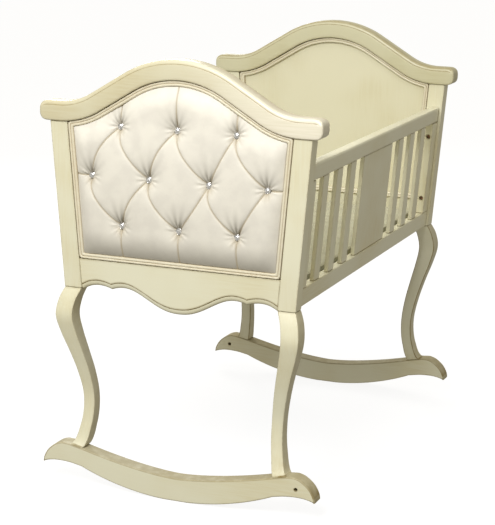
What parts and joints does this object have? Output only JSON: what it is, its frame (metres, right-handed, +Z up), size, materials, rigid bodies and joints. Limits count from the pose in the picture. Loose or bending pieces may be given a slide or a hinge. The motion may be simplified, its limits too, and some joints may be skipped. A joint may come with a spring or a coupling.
{
  "type": "rocking cradle",
  "caption": "Rocking cradle with camelback ends, button-tufted satin end pads, slatted sides, cabriole legs and curved rockers, in glazed antique white.",
  "frame": {"origin": "On the floor in the middle of the cradle, under the centre of the bounding box.", "axes": "+Z up. +Y along the cradle from the foot end to the head end. +X across it, to the right when looking along +Y."},
  "size_m": [0.6576, 1.0284, 0.974],
  "materials": {
    "antique_white_paint": "antique white paint, brown glaze wiped into the joints and along the edges, satin lacquer",
    "glazed_moulding_paint": "antique white paint with brown glaze left in the grooves of the moulding",
    "ivory_satin": "ivory satin, padded and button tufted",
    "cream_cotton": "cream woven cotton ticking, stitched in diamonds",
    "brown_hardboard": "plain brown hardboard",
    "dark_steel": "bronzed socket bolts"
  },
  "bodies": {
    "cradle": {"foot_left_post": "antique_white_paint", "foot_left_leg": "antique_white_paint", "foot_right_post": "antique_white_paint", "foot_right_leg": "antique_white_paint", "foot_top_rail": "antique_white_paint", "foot_apron": "antique_white_paint", "foot_end_panel": "antique_white_paint", "foot_outer_moulding": "glazed_moulding_paint", "foot_inner_moulding": "glazed_moulding_paint", "foot_tufted_pad": "ivory_satin", "foot_rocker": "antique_white_paint", "head_left_post": "antique_white_paint", "head_left_leg": "antique_white_paint", "head_right_post": "antique_white_paint", "head_right_leg": "antique_white_paint", "head_top_rail": "antique_white_paint", "head_apron": "antique_white_paint", "head_end_panel": "antique_white_paint", "head_outer_moulding": "glazed_moulding_paint", "head_inner_moulding": "glazed_moulding_paint", "head_tufted_pad": "ivory_satin", "head_rocker": "antique_white_paint", "left_side_top_rail": "antique_white_paint", "left_side_bottom_rail": "antique_white_paint", "foot_left_stile": "antique_white_paint", "foot_left_bolt_1": "dark_steel", "foot_left_bolt_2": "dark_steel", "left_foot_slat_1": "antique_white_paint", "left_foot_slat_2": "antique_white_paint", "left_foot_slat_3": "antique_white_paint", "head_left_stile": "antique_white_paint", "head_left_bolt_1": "dark_steel", "head_left_bolt_2": "dark_steel", "left_head_slat_1": "antique_white_paint", "left_head_slat_2": "antique_white_paint", "left_head_slat_3": "antique_white_paint", "left_centre_panel": "antique_white_paint", "left_support_cleat": "antique_white_paint", "right_side_top_rail": "antique_white_paint", "right_side_bottom_rail": "antique_white_paint", "foot_right_stile": "antique_white_paint", "foot_right_bolt_1": "dark_steel", "foot_right_bolt_2": "dark_steel", "right_foot_slat_1": "antique_white_paint", "right_foot_slat_2": "antique_white_paint", "right_foot_slat_3": "antique_white_paint", "head_right_stile": "antique_white_paint", "head_right_bolt_1": "dark_steel", "head_right_bolt_2": "dark_steel", "right_head_slat_1": "antique_white_paint", "right_head_slat_2": "antique_white_paint", "right_head_slat_3": "antique_white_paint", "right_centre_panel": "antique_white_paint", "right_support_cleat": "antique_white_paint", "mattress_support_board": "brown_hardboard"},
    "mattress": {"mattress": "cream_cotton"}
  },
  "joints": [
    {"name": "mattress_lift", "type": "slide", "parent": "cradle", "child": "mattress", "axis": [0, 0, 1], "range_m": [0, 0.32]}
  ]
}
